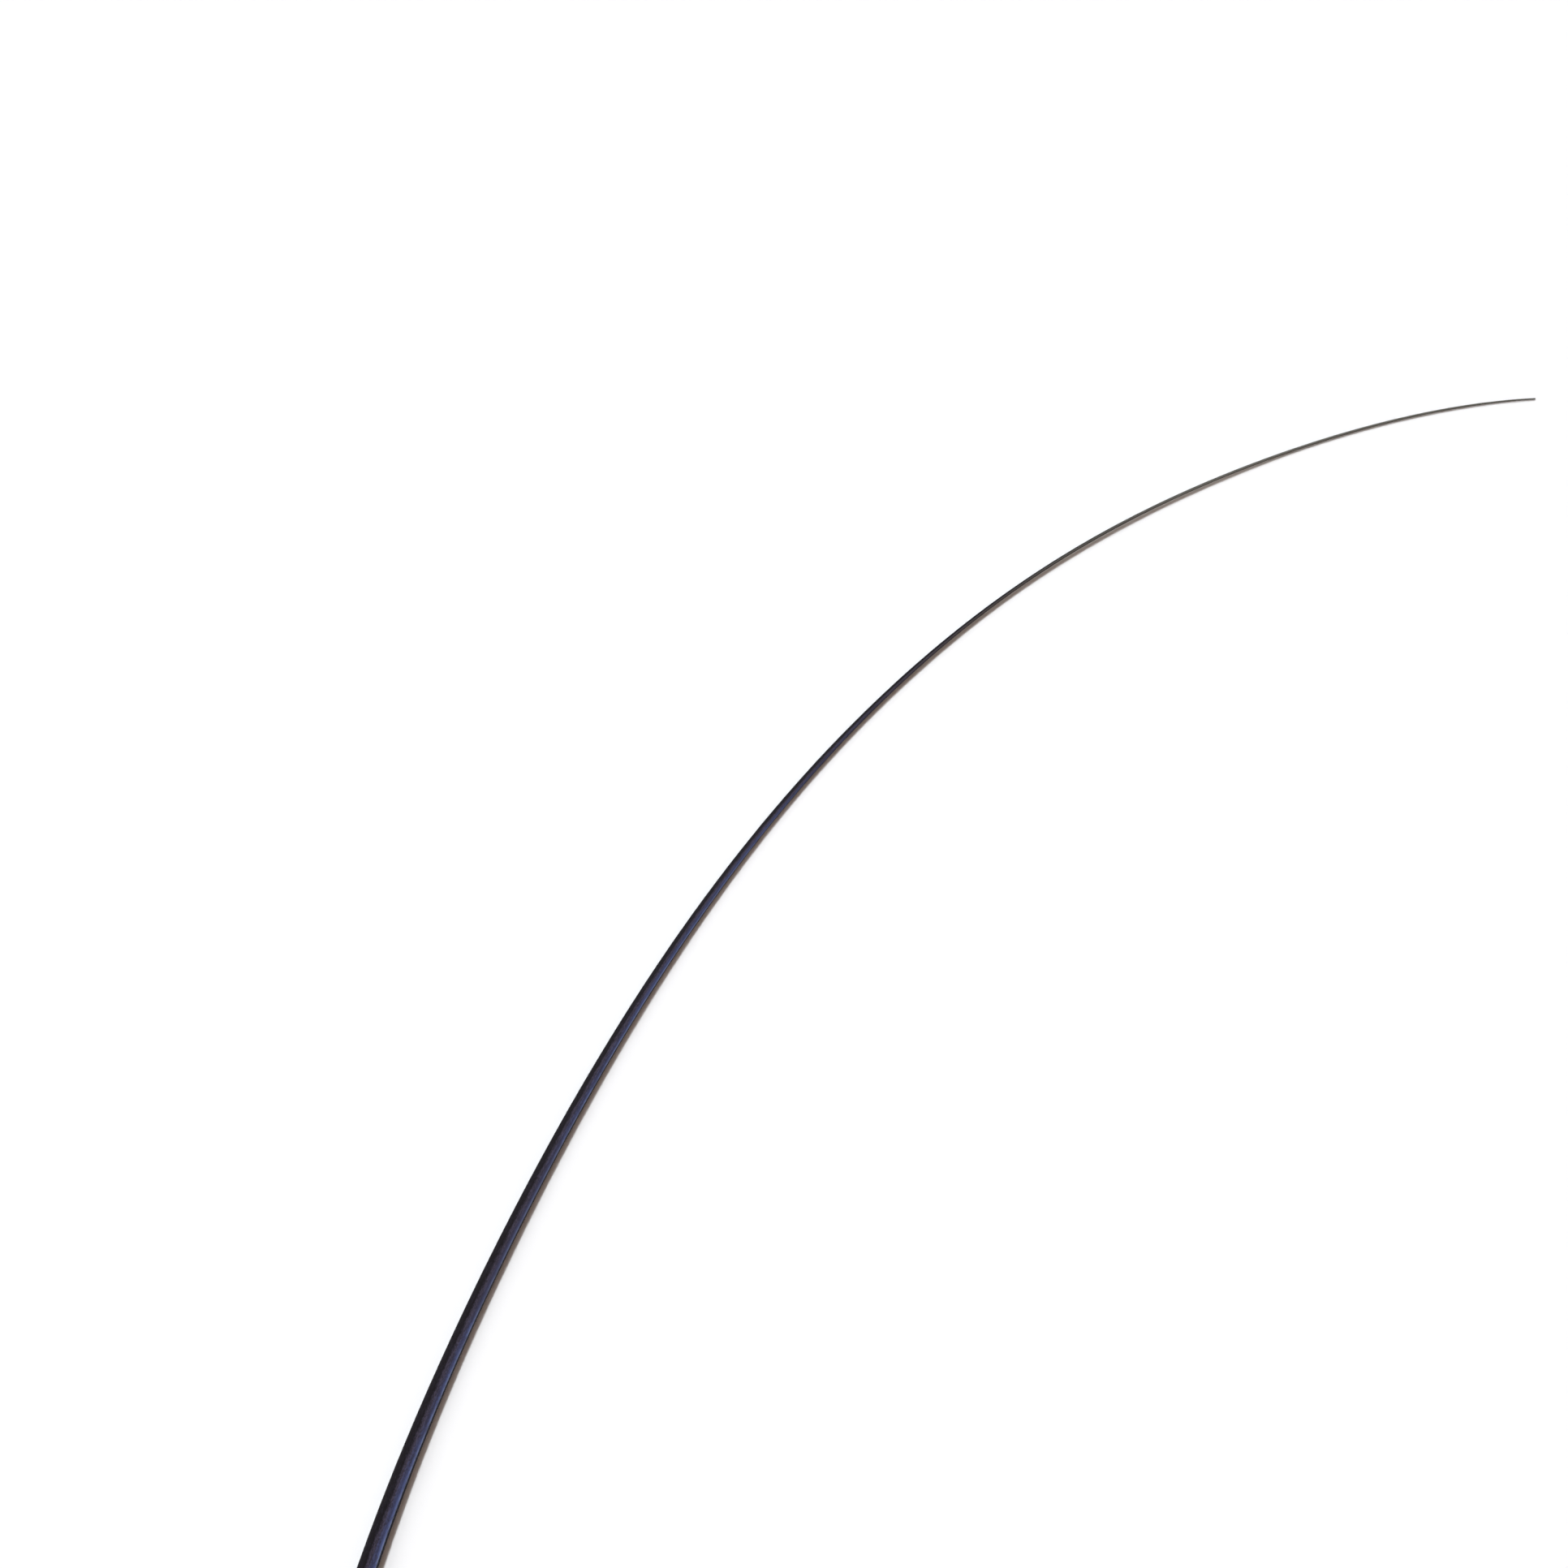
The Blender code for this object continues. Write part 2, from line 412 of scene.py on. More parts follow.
@dataclass(frozen=True)
class BlindHole:
    """The small hole in the barrel's end, through which the growing feather was fed."""

    mouth_radius: float = 0.68 * MM
    end_radius: float = 0.4 * MM
    mouth_place: float = 0.25 * MM
    end_place: float = 3.4 * MM
    steps: int = 9

    def rows(self) -> list[tuple[float, float]]:
        """Sections of the hole, from its bottom to its mouth.

        Returns:
            Place and radius of each.
        """
        shares = [i / (self.steps - 1) for i in range(self.steps)]
        return [
            (
                self.end_place + share * (self.mouth_place - self.end_place),
                self.end_radius + share ** 2 * (self.mouth_radius - self.end_radius),
            )
            for share in shares
        ]


@dataclass(frozen=True)
class QuillForm:
    """The outer shape of the quill and the way it lies: everything that its section depends on."""

    bow: Bow = Bow()
    rings: BarrelRings = BarrelRings()
    ledges: tuple[TornLedge, ...] = (
        TornLedge(Flank.UPPER, start=64 * MM),
        TornLedge(Flank.LOWER, start=68 * MM),
    )
    long_relief: tuple[Relief, ...] = (
        LongRidge(angle=121.0, half_width=7.0, share=-0.022),
        LongRidge(angle=133.0, half_width=5.5, share=0.030),
        LongRidge(angle=146.0, half_width=5.0, share=-0.028),
        LongRidge(angle=158.0, half_width=6.0, share=0.014),
        LongRidge(angle=HALF_TURN, half_width=15.0, share=-1.0, waver=0.0, strength=SmoothCurve((
            (0, 0.0), (58, 0.0), (66, 0.1), (110, 0.17), (280, 0.15), (360, 0.06), (400, 0.0), (450, 0.0),
        ))),
        GroovePit(),
        BarbScars(),
        LongWrinkles(),
    )
    depth: SmoothCurve = SmoothCurve((
        (0, 5.0), (20, 5.6), (45, 5.75), (62, 5.5), (100, 4.58), (140, 3.62), (180, 2.95), (220, 2.43),
        (266, 1.76), (290, 1.38), (320, 0.95), (350, 0.67), (400, 0.48), (435, 0.36), (450, 0.25),
    ))
    breadth_share: SmoothCurve = SmoothCurve(((0, 1.0), (50, 0.98), (90, 0.93), (300, 0.9), (450, 0.95)))
    squareness: SmoothCurve = SmoothCurve((
        (0, 2.0), (58, 2.0), (90, 2.6), (300, 2.7), (380, 2.2), (450, 2.0),
    ))
    end_rounding: float = 9 * MM
    end_rim_share: float = 0.42
    tip_rounding: float = 0.16 * MM
    tip_rim_share: float = 0.25
    probe_spacing: float = 2 * MM
    probe_angle: int = 15
    contact_flat: float = 0.09 * MM
    contact_flat_share: float = 0.03
    whip_lift: SmoothCurve = SmoothCurve((
        (0, 0.0), (285, 0.0), (310, 0.15), (335, 0.3), (370, 0.36), (392, 0.25), (410, 0.05), (450, 0.0),
    ))

    @property
    def length(self) -> float:
        """Length of the quill along its bow."""
        return self.bow.length

    @cached_property
    def relief(self) -> tuple[Relief, ...]:
        """Everything that raises or lowers the skin."""
        return (self.rings, *self.ledges, *self.long_relief)

    def end_share(self, along: float) -> float:
        """Share of the plain radius that the rounded ends leave.

        Args:
            along: Distance from the base.

        Returns:
            1 on the shaft, less near the base and at the very tip.
        """
        if along < self.end_rounding:
            open_share = 1 - along / self.end_rounding
            return self.end_rim_share + (1 - self.end_rim_share) * math.sqrt(1 - open_share ** 2)
        past = max(0.0, along - (self.length - self.tip_rounding)) / self.tip_rounding
        return self.tip_rim_share + (1 - self.tip_rim_share) * math.sqrt(max(0.0, 1 - past ** 2))

    def centre_height(self, along: float) -> float:
        """Height of the centre line over the floor."""
        half_breadth = self.depth.at(along / MM) * MM * self.breadth_share.at(along / MM) / 2
        flat = min(self.contact_flat, 2 * half_breadth * self.contact_flat_share)
        return half_breadth - flat + self.whip_lift.at(along / MM) * MM

    def radius(self, along: float) -> Across:
        """Distance from the centre line to the skin in one section.

        Args:
            along: Distance from the base.

        Returns:
            A function from the angle in degrees to a radius.
        """
        depth = self.depth.at(along / MM) * MM
        breadth = depth * self.breadth_share.at(along / MM)
        power = self.squareness.at(along / MM)
        end_share = self.end_share(along)
        layers = [relief.across(along, depth) for relief in self.relief]

        def reach(angle: float) -> float:
            """Distance at one angle."""
            side = abs(math.cos(math.radians(angle))) / (depth / 2)
            upward = abs(math.sin(math.radians(angle))) / (breadth / 2)
            body = (side ** power + upward ** power) ** (-1 / power)
            return (body + sum(layer(angle) for layer in layers)) * end_share

        return reach

    def section(self, along: float, angles: list[float], reach: Across) -> list[Vector]:
        """Points of one section, before the quill is put in its place in the frame.

        Args:
            along: Distance from the base.
            angles: Angles in degrees at which the section has points.
            reach: Distance from the centre line at each angle.

        Returns:
            The points, none of them lower than the floor.
        """
        point, heading = self.bow.place(along)
        dorsal = Vector((-math.sin(heading), math.cos(heading), 0.0))
        height = self.centre_height(along)
        points = []
        for angle in angles:
            turn = math.radians(angle)
            distance = reach(angle)
            rise = max(0.0, height + distance * math.sin(turn))
            points.append(Vector((point.x, point.y, rise)) + dorsal * distance * math.cos(turn))
        return points

    @cached_property
    def offset(self) -> Vector:
        """Where the quill goes in the frame.

        Returns:
            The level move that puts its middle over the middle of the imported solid.
        """
        angles = [float(angle) for angle in range(-int(HALF_TURN), int(HALF_TURN), self.probe_angle)]
        places = [i * self.probe_spacing for i in range(round(self.length / self.probe_spacing) + 1)]
        points = [point for place in places for point in self.section(place, angles, self.radius(place))]
        low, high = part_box(NODE)
        middle = [
            (low[axis] + high[axis] - min(p[axis] for p in points) - max(p[axis] for p in points)) / 2
            for axis in (0, 1)
        ]
        return Vector((*middle, 0.0))


@dataclass(frozen=True)
class Fade:
    """A smooth step: where it starts and ends, and its value before and after."""

    start: float
    end: float
    before: float = 0.0
    after: float = 1.0


@dataclass(frozen=True)
class FlankLine:
    """A soft line of colour along both flanks: its angle from the dorsal side, half width and share."""

    centre: float
    half_width: float
    share: float = 1.0


class Streaks(Enum):
    """Kinds of streaks along the shaft.

    Each has its number of lanes side by side, its number in a millimetre of the shaft, how much finer
    noise it has, and a seed that sets it apart from the others.
    """

    BLOTCH = (0.8, 0.035, 2.0, 3.0)
    STREAK = (4.0, 0.45, 3.0, 11.0)
    GRAIN = (9.0, 2.4, 3.0, 17.0)
    HAIR = (17.0, 0.6, 2.0, 23.0)
    SCRATCH = (19.0, 0.5, 0.0, 41.0)
    FIBRE = (6.0, 1.7, 2.0, 5.0)


class NodeBench:
    """Adds nodes to one tree and joins them, so that a finish reads as a list of steps."""

    def __init__(self, tree: bpy.types.NodeTree) -> None:
        """Works on one material's or group's tree."""
        self.tree = tree

    def feed(self, target: Socket, value: Feed) -> None:
        """Joins a socket to a target, or sets the target to a number or a colour.

        Args:
            target: The input socket.
            value: An output socket, a number or a colour.
        """
        if isinstance(value, bpy.types.NodeSocket):
            self.tree.links.new(value, target)
        elif isinstance(value, tuple):
            target.default_value = (*value, 1.0)
        else:
            target.default_value = value

    def add(self, kind: str, inputs: dict[str | int, Feed], **settings: object) -> bpy.types.Node:
        """Adds one node.

        Args:
            kind: Its type, without the leading ShaderNode.
            inputs: What feeds its input sockets, by name or number.
            **settings: Its properties.

        Returns:
            The node.
        """
        node = self.tree.nodes.new(f"ShaderNode{kind}")
        for name, value in settings.items():
            setattr(node, name, value)
        for name, value in inputs.items():
            self.feed(node.inputs[name], value)
        return node

    def calc(self, operation: str, first: Feed, second: Feed = 0.0, third: Feed = 0.0) -> Socket:
        """Result of a Math node."""
        return self.add("Math", {0: first, 1: second, 2: third}, operation=operation).outputs[0]

    def times(self, first: Feed, *others: Feed) -> Feed:
        """Product of several values.

        Args:
            first: The first of them.
            *others: The rest, if there are any.

        Returns:
            The product, or the first value where it is the only one.
        """
        product = first
        for other in others:
            product = self.calc("MULTIPLY", product, other)
        return product

    def step(self, value: Feed, *fades: Fade) -> Socket:
        """Product of smooth steps.

        Args:
            value: What is compared with where they start and end.
            *fades: The steps, at least one.

        Returns:
            The result's socket.
        """
        steps = []
        for fade in fades:
            inputs = {"Value": value, "From Min": fade.start, "From Max": fade.end}
            inputs |= {"To Min": fade.before, "To Max": fade.after}
            steps.append(self.add("MapRange", inputs, interpolation_type="SMOOTHSTEP").outputs["Result"])
        return self.times(*steps)

    def dye(self, share: Feed, under: Feed, over: Feed) -> Socket:
        """A colour laid over another with the given share."""
        inputs = {MIX_SHARE: share, MIX_UNDER: under, MIX_OVER: over}
        return self.add("Mix", inputs, data_type="RGBA").outputs[MIX_RESULT]

    def group(self, tree: bpy.types.NodeTree, **inputs: Feed) -> bpy.types.Node:
        """Places a node group.

        Args:
            tree: The group.
            **inputs: What feeds its inputs, with _ for a space in a name.

        Returns:
            The group's node.
        """
        node = self.tree.nodes.new("ShaderNodeGroup")
        node.node_tree = tree
        for name, value in inputs.items():
            self.feed(node.inputs[name.replace("_", " ")], value)
        return node


class ShaftPatterns:
    """Node groups that every finish of the quill uses, because they follow the shaft."""

    def __init__(self) -> None:
        """Builds the groups, each of them once."""
        self.place = self.make_place()
        self.streaks = self.make_streaks()
        self.band = self.make_band()

    @staticmethod
    def start(
        name: str, inputs: dict[str, float], outputs: tuple[str, ...],
    ) -> tuple[NodeBench, Ends, Ends]:
        """Starts a group with its sockets.

        Args:
            name: The group's name.
            inputs: Names and default values of its inputs.
            outputs: Names of its outputs.

        Returns:
            The group's bench, what it is given and what it gives.
        """
        tree = bpy.data.node_groups.new(name, "ShaderNodeTree")
        for label, value in inputs.items():
            socket = tree.interface.new_socket(label, in_out="INPUT", socket_type="NodeSocketFloat")
            socket.default_value = value
        for label in outputs:
            tree.interface.new_socket(label, in_out="OUTPUT", socket_type="NodeSocketFloat")
        given, gives = (tree.nodes.new(kind) for kind in ("NodeGroupInput", "NodeGroupOutput"))
        return NodeBench(tree), given.outputs, gives.inputs

    def make_place(self) -> bpy.types.NodeTree:
        """Says where a point lies.

        Returns:
            A group that gives its angle, its angle from the dorsal side and its place in millimetres.
        """
        bench, _, gives = self.start("Shaft Place", {}, ("Angle", "Side", "Along"))
        corner = bench.add("UVMap", {}, uv_map=SHAFT_MAP)
        axes = bench.add("SeparateXYZ", {0: corner.outputs[0]})
        angle = bench.calc("MULTIPLY_ADD", axes.outputs[0], 2 * HALF_TURN, -HALF_TURN)
        bench.feed(gives["Angle"], angle)
        bench.feed(gives["Side"], bench.calc("ABSOLUTE", angle))
        bench.feed(gives["Along"], bench.calc("MULTIPLY", axes.outputs[1], Bow().length / MM))
        return bench.tree

    def make_streaks(self) -> bpy.types.NodeTree:
        """Lays streaks that run along the shaft and close up around it.

        Returns:
            A group that gives a value between 0 and 1.
        """
        inputs = {"Lanes": 1.0, "Per Millimetre": 0.1, "Detail": 2.0, "Seed": 0.0}
        bench, given, gives = self.start("Dye Streaks", inputs, ("Value",))
        place = bench.group(self.place).outputs
        turn = bench.calc("RADIANS", place["Angle"])
        across = bench.calc("MULTIPLY_ADD", bench.calc("COSINE", turn), given["Lanes"], given["Seed"])
        upward = bench.calc("MULTIPLY_ADD", bench.calc("SINE", turn), given["Lanes"], given["Seed"])
        onward = bench.calc("MULTIPLY_ADD", place["Along"], given["Per Millimetre"], given["Seed"])
        spot = bench.add("CombineXYZ", {0: across, 1: upward, 2: onward}).outputs[0]
        cloud = bench.add("TexNoise", {"Vector": spot, "Scale": 1.0, "Detail": given["Detail"]})
        bench.feed(gives["Value"], cloud.outputs[0])
        return bench.tree

    def make_band(self) -> bpy.types.NodeTree:
        """Lays a soft band along both flanks, at an angle from the dorsal side.

        Returns:
            A group that gives its mask.
        """
        inputs = {"Side": 0.0, "Centre": 120.0, "Half Width": 5.0}
        bench, given, gives = self.start("Flank Band", inputs, ("Mask",))
        off = bench.calc("SUBTRACT", given["Side"], given["Centre"])
        share = bench.calc("DIVIDE", off, given["Half Width"])
        bench.feed(gives["Mask"], bench.calc("EXPONENT", bench.times(share, share, -1.0)))
        return bench.tree


class ShaftBench(NodeBench):
    """A finish's bench, which knows where on the shaft a point lies and what patterns it has."""

    def __init__(self, tree: bpy.types.NodeTree, patterns: ShaftPatterns) -> None:
        """Works on one finish's tree."""
        super().__init__(tree)
        self.patterns = patterns
        self.laid: dict[Streaks, Socket] = {}

    @cached_property
    def place(self) -> Ends:
        """Outputs that say where a point lies: Angle, Side and Along."""
        return self.group(self.patterns.place).outputs

    def streak(self, kind: Streaks) -> Socket:
        """One kind of streaks, which is laid once.

        Args:
            kind: Which kind.

        Returns:
            A value between 0 and 1, near 0.5 on the whole.
        """
        if kind not in self.laid:
            lanes, per_mm, detail, seed = kind.value
            node = self.group(
                self.patterns.streaks, Lanes=lanes, Per_Millimetre=per_mm, Detail=detail, Seed=seed,
            )
            self.laid[kind] = node.outputs[0]
        return self.laid[kind]

    def line(self, side: Feed, line: FlankLine) -> Socket:
        """Mask of one soft line: its share in its middle, and nothing away from it."""
        band = self.group(self.patterns.band, Side=side, Centre=line.centre, Half_Width=line.half_width)
        return self.times(band.outputs[0], line.share)

    def mark(self, name: str) -> Socket:
        """A number that the mesh has at each point."""
        return self.add("Attribute", {}, attribute_name=name).outputs["Fac"]


def new_finish(name: str, specular: float) -> tuple[bpy.types.Material, bpy.types.Node]:
    """Starts a finish.

    Args:
        name: The material's name.
        specular: Its specular level.

    Returns:
        The material and its shader.
    """
    material = bpy.data.materials.new(name)
    material.use_nodes = True
    shader = material.node_tree.nodes["Principled BSDF"]
    shader.inputs["Specular IOR Level"].default_value = specular
    return material, shader


@dataclass(frozen=True)
class ShaftDye:
    """Dye of the shaft: black back, mottled violet flank, blue ventral third, and thin at the tip."""

    back: Colour = (0.0040, 0.0026, 0.0044)
    charcoal: Colour = (0.018, 0.0155, 0.025)
    violet: Colour = (0.044, 0.037, 0.060)
    navy: Colour = (0.038, 0.041, 0.084)
    blue: Colour = (0.046, 0.060, 0.145)
    umber: Colour = (0.046, 0.039, 0.038)
    olive: Colour = (0.105, 0.104, 0.088)
    grain_share: float = 0.6
    fine_waver: float = 22.0
    broad_waver: float = 26.0
    worn_waver: float = 40.0
    mottle_weight: float = 1.2
    upper_belly_blue: float = 0.5
    violet_mottle: Fade = Fade(0.42, 0.58)
    blue_mottle: Fade = Fade(1.0, 1.22)
    back_mottle: Fade = Fade(0.45, 0.65, 0.0, 0.4)
    worn_mottle: Fade = Fade(0.35, 0.65, 0.7, 1.0)
    back_border: Fade = Fade(68.0, 90.0, 1.0, 0.0)
    belly_border: Fade = Fade(92.0, 108.0)
    belly_depth: Fade = Fade(108.0, 128.0)
    belly_reach: Fade = Fade(280.0, 335.0, 1.0, 0.0)
    umber_reach: Fade = Fade(312.0, 350.0)
    olive_reach: Fade = Fade(366.0, 420.0)

    def colour(self, bench: ShaftBench) -> Socket:
        """The dye's colour, with a blotchy border to each of its parts.

        Args:
            bench: The finish's bench.

        Returns:
            The colour.
        """
        side, along = bench.place["Side"], bench.place["Along"]
        blotch, streak = bench.streak(Streaks.BLOTCH), bench.streak(Streaks.STREAK)
        streaked = bench.times(streak, 1 - self.grain_share)
        mottle = bench.calc("MULTIPLY_ADD", bench.streak(Streaks.GRAIN), self.grain_share, streaked)
        wavered = bench.calc("MULTIPLY_ADD", mottle, self.fine_waver, side)
        wavered = bench.calc("MULTIPLY_ADD", blotch, self.broad_waver, wavered)
        border = bench.calc("SUBTRACT", wavered, (self.broad_waver + self.fine_waver) / 2)

        flank = bench.dye(bench.step(mottle, self.violet_mottle), self.charcoal, self.violet)
        tone = bench.calc("MULTIPLY_ADD", mottle, self.mottle_weight, blotch)
        deep = bench.dye(bench.step(tone, self.blue_mottle), self.navy, self.blue)
        upper_belly = bench.dye(self.upper_belly_blue, flank, deep)
        belly = bench.dye(bench.step(side, self.belly_depth), upper_belly, deep)
        shown = bench.times(bench.step(border, self.belly_border), bench.step(along, self.belly_reach))
        colour = bench.dye(bench.step(along, self.umber_reach), bench.dye(shown, flank, belly), self.umber)

        back = bench.dye(bench.step(mottle, self.back_mottle), self.back, self.charcoal)
        colour = bench.dye(bench.step(border, self.back_border), colour, back)
        worn = bench.step(bench.calc("MULTIPLY_ADD", blotch, self.worn_waver, along), self.olive_reach)
        return bench.dye(bench.times(worn, bench.step(streak, self.worn_mottle)), colour, self.olive)


@dataclass(frozen=True)
class GrooveLines:
    """The dark groove, and beside it the blue bead brightened by a painted highlight, the crease darkened
    by painted shade, and a faint painted reflection along the edge.
    """

    groove: Colour = (0.013, 0.011, 0.014)
    # Blue dye of the ridge, made much brighter as a painted highlight.
    bead_and_highlight: Colour = (0.152, 0.192, 0.345)
    # Painted shade: near black along the crease, where the flank turns away from the light.
    crease_shade: Colour = (0.0040, 0.0045, 0.012)
    # Painted reflection: a faint pale colour along the ridge beside the groove.
    edge: Colour = (0.110, 0.092, 0.100)
    groove_side: Fade = Fade(152.0, 160.0)
    bead_and_highlight_line: FlankLine = FlankLine(centre=133.3, half_width=4.3)
    crease_shade_line: FlankLine = FlankLine(centre=148.8, half_width=9.2)
    edge_reflection_line: FlankLine = FlankLine(centre=161.0, half_width=3.0, share=0.12)
    groove_reach: tuple[Fade, Fade] = (Fade(57.0, 61.0), Fade(330.0, 370.0, 1.0, 0.0))
    bead_and_highlight_reach: tuple[Fade, Fade] = (Fade(66.0, 78.0), Fade(255.0, 315.0, 1.0, 0.0))
    line_reach: tuple[Fade, Fade] = (Fade(65.0, 70.0), Fade(300.0, 340.0, 1.0, 0.0))
    fine_breaks: Fade = Fade(0.3, 0.6, 0.3, 1.0)
    broad_breaks: Fade = Fade(0.35, 0.55, 0.7, 1.0)

    def over(self, bench: ShaftBench, colour: Socket) -> Socket:
        """Lays the groove's colour and the lines over the dye.

        Args:
            bench: The finish's bench.
            colour: The dye's colour.

        Returns:
            The colour with the lines on it.
        """
        side, along = bench.place["Side"], bench.place["Along"]
        fine = bench.step(bench.streak(Streaks.STREAK), self.fine_breaks)
        broken = bench.times(fine, bench.step(bench.streak(Streaks.BLOTCH), self.broad_breaks))
        lower = bench.step(along, *self.line_reach)
        groove = bench.times(bench.step(side, self.groove_side), bench.step(along, *self.groove_reach))
        colour = bench.dye(groove, colour, self.groove)
        # The bead: blue dye on the ridge, brightened into a painted highlight.
        bead_and_highlight = bench.times(bench.line(side, self.bead_and_highlight_line), bench.step(along, *self.bead_and_highlight_reach), broken)
        colour = bench.dye(bead_and_highlight, colour, self.bead_and_highlight)
        # Painted shade: the crease beside the groove is painted near black.
        colour = bench.dye(bench.times(bench.line(side, self.crease_shade_line), lower), colour, self.crease_shade)
        # Painted reflection: a faint pale line along the ridge beside the groove.
        edge = bench.times(bench.line(side, self.edge_reflection_line), lower, broken)
        return bench.dye(edge, colour, self.edge)


@dataclass(frozen=True)
class BarrelDye:
    """Dye of the barrel: almost black, with a painted blue-grey sheen, painted highlights on its crests,
    torn spots and scratches.
    """

    dark: Colour = (0.0075, 0.0062, 0.0098)
    # Painted highlight: the blue-grey sheen along the barrel's upper flank.
    painted_sheen: Colour = (0.030, 0.033, 0.058)
    # Painted highlight: paler colour on the ring crests.
    crest: Colour = (0.085, 0.082, 0.110)
    bare: Colour = (0.200, 0.180, 0.172)
    painted_sheen_line: FlankLine = FlankLine(centre=112.0, half_width=26.0)
    painted_sheen_broad_waver: float = 30.0
    painted_sheen_fine_waver: float = 14.0
    end_waver: float = 14.0
    rubbed_share: float = 0.35
    painted_sheen_breaks: Fade = Fade(0.3, 0.6, 0.55, 1.0)
    crest_highlight_height: Fade = Fade(0.35, 1.25, 0.0, 0.8)
    crest_highlight_in_sheen: Fade = Fade(0.3, 1.0, 0.12, 1.0)
    end: Fade = Fade(62.0, 78.0, 1.0, 0.0)
    torn_height: Fade = Fade(0.15, 0.9)
    torn_breaks: Fade = Fade(0.42, 0.62)
    scratch_rarity: Fade = Fade(0.81, 0.84)
    scratch_reach: Fade = Fade(60.0, 90.0, 0.3, 0.1)

    def over(self, bench: ShaftBench, colour: Socket) -> Socket:
        """Lays the barrel's colours over the shaft's, and the torn spots and scratches over both.

        Args:
            bench: The finish's bench.
            colour: The shaft's colour.

        Returns:
            The colour with the barrel's on it.
        """
        side, along = bench.place["Side"], bench.place["Along"]
        blotch, streak = bench.streak(Streaks.BLOTCH), bench.streak(Streaks.STREAK)
        uneven = bench.calc("MULTIPLY_ADD", streak, self.painted_sheen_fine_waver, side)
        uneven = bench.calc("MULTIPLY_ADD", blotch, self.painted_sheen_broad_waver, uneven)
        # Painted highlight: a soft blue-grey sheen painted in a band along the flank.
        painted_sheen = bench.line(uneven, self.painted_sheen_line)
        barrel = bench.dye(bench.times(painted_sheen, bench.step(streak, self.painted_sheen_breaks)), self.dark, self.painted_sheen)
        # Painted highlight: ring crests painted paler where they lie in the painted sheen.
        crest = bench.step(bench.mark("crest"), self.crest_highlight_height)
        barrel = bench.dye(bench.times(crest, bench.step(painted_sheen, self.crest_highlight_in_sheen)), barrel, self.crest)
        end = bench.step(bench.calc("MULTIPLY_ADD", blotch, self.end_waver, along), self.end)
        colour = bench.dye(end, colour, barrel)
        torn = bench.step(bench.mark("torn"), self.torn_height)
        rubbed = bench.times(torn, bench.step(streak, self.torn_breaks), self.rubbed_share)
        colour = bench.dye(rubbed, colour, self.bare)
        scratch = bench.step(bench.streak(Streaks.SCRATCH), self.scratch_rarity)
        return bench.dye(bench.times(scratch, bench.step(along, self.scratch_reach)), colour, self.bare)


@dataclass(frozen=True)
class DyedKeratin:
    """The quill's skin: keratin dyed blue-black, with the pith's own colour in the hole."""

    shaft: ShaftDye = ShaftDye()
    lines: GrooveLines = GrooveLines()
    barrel: BarrelDye = BarrelDye()
    pith: Colour = (0.130, 0.105, 0.080)
    pith_reach: Fade = Fade(-0.2, 0.05, 1.0, 0.0)
    specular: float = 0.12
    roughness: float = 0.5
    streak_roughness: float = 0.3
    back_roughness: Fade = Fade(60.0, 95.0, 0.16, 0.0)
    coat_roughness: float = 0.32
    coat_sides: tuple[Fade, Fade] = (Fade(64.0, 98.0, 0.05, 1.0), Fade(138.0, 148.0, 1.0, 0.15))
    coat_reach: tuple[Fade, Fade] = (Fade(60.0, 90.0, 0.55, 0.3), Fade(280.0, 380.0, 1.0, 0.3))
    barrel_coat: Fade = Fade(60.0, 84.0, 0.24, 0.0)
    grain_depth: float = 0.02 * MM
    grain_strength: float = 0.6

    def material(self, patterns: ShaftPatterns) -> bpy.types.Material:
        """Builds the finish.

        Args:
            patterns: The node groups that follow the shaft.

        Returns:
            The material.
        """
        material, shader = new_finish("dyed_keratin_skin", self.specular)
        bench = ShaftBench(material.node_tree, patterns)
        side, along = bench.place["Side"], bench.place["Along"]
        colour = self.barrel.over(bench, self.lines.over(bench, self.shaft.colour(bench)))
        colour = bench.dye(bench.step(along, self.pith_reach), colour, self.pith)
        bench.feed(shader.inputs["Base Color"], colour)

        smoothest = self.roughness - self.streak_roughness / 2
        rough = bench.calc("MULTIPLY_ADD", bench.streak(Streaks.STREAK), self.streak_roughness, smoothest)
        rough = bench.calc("ADD", rough, bench.step(side, self.back_roughness))
        bench.feed(shader.inputs["Roughness"], rough)
        coat = bench.times(bench.step(side, *self.coat_sides), bench.step(along, *self.coat_reach))
        coat = bench.calc("MAXIMUM", coat, bench.step(along, self.barrel_coat))
        bench.feed(shader.inputs["Coat Weight"], coat)
        shader.inputs["Coat Roughness"].default_value = self.coat_roughness
        grain = {"Height": bench.streak(Streaks.HAIR), "Distance": self.grain_depth}
        striae = bench.add("Bump", grain | {"Strength": self.grain_strength})
        bench.feed(shader.inputs["Normal"], striae.outputs[0])
        return material


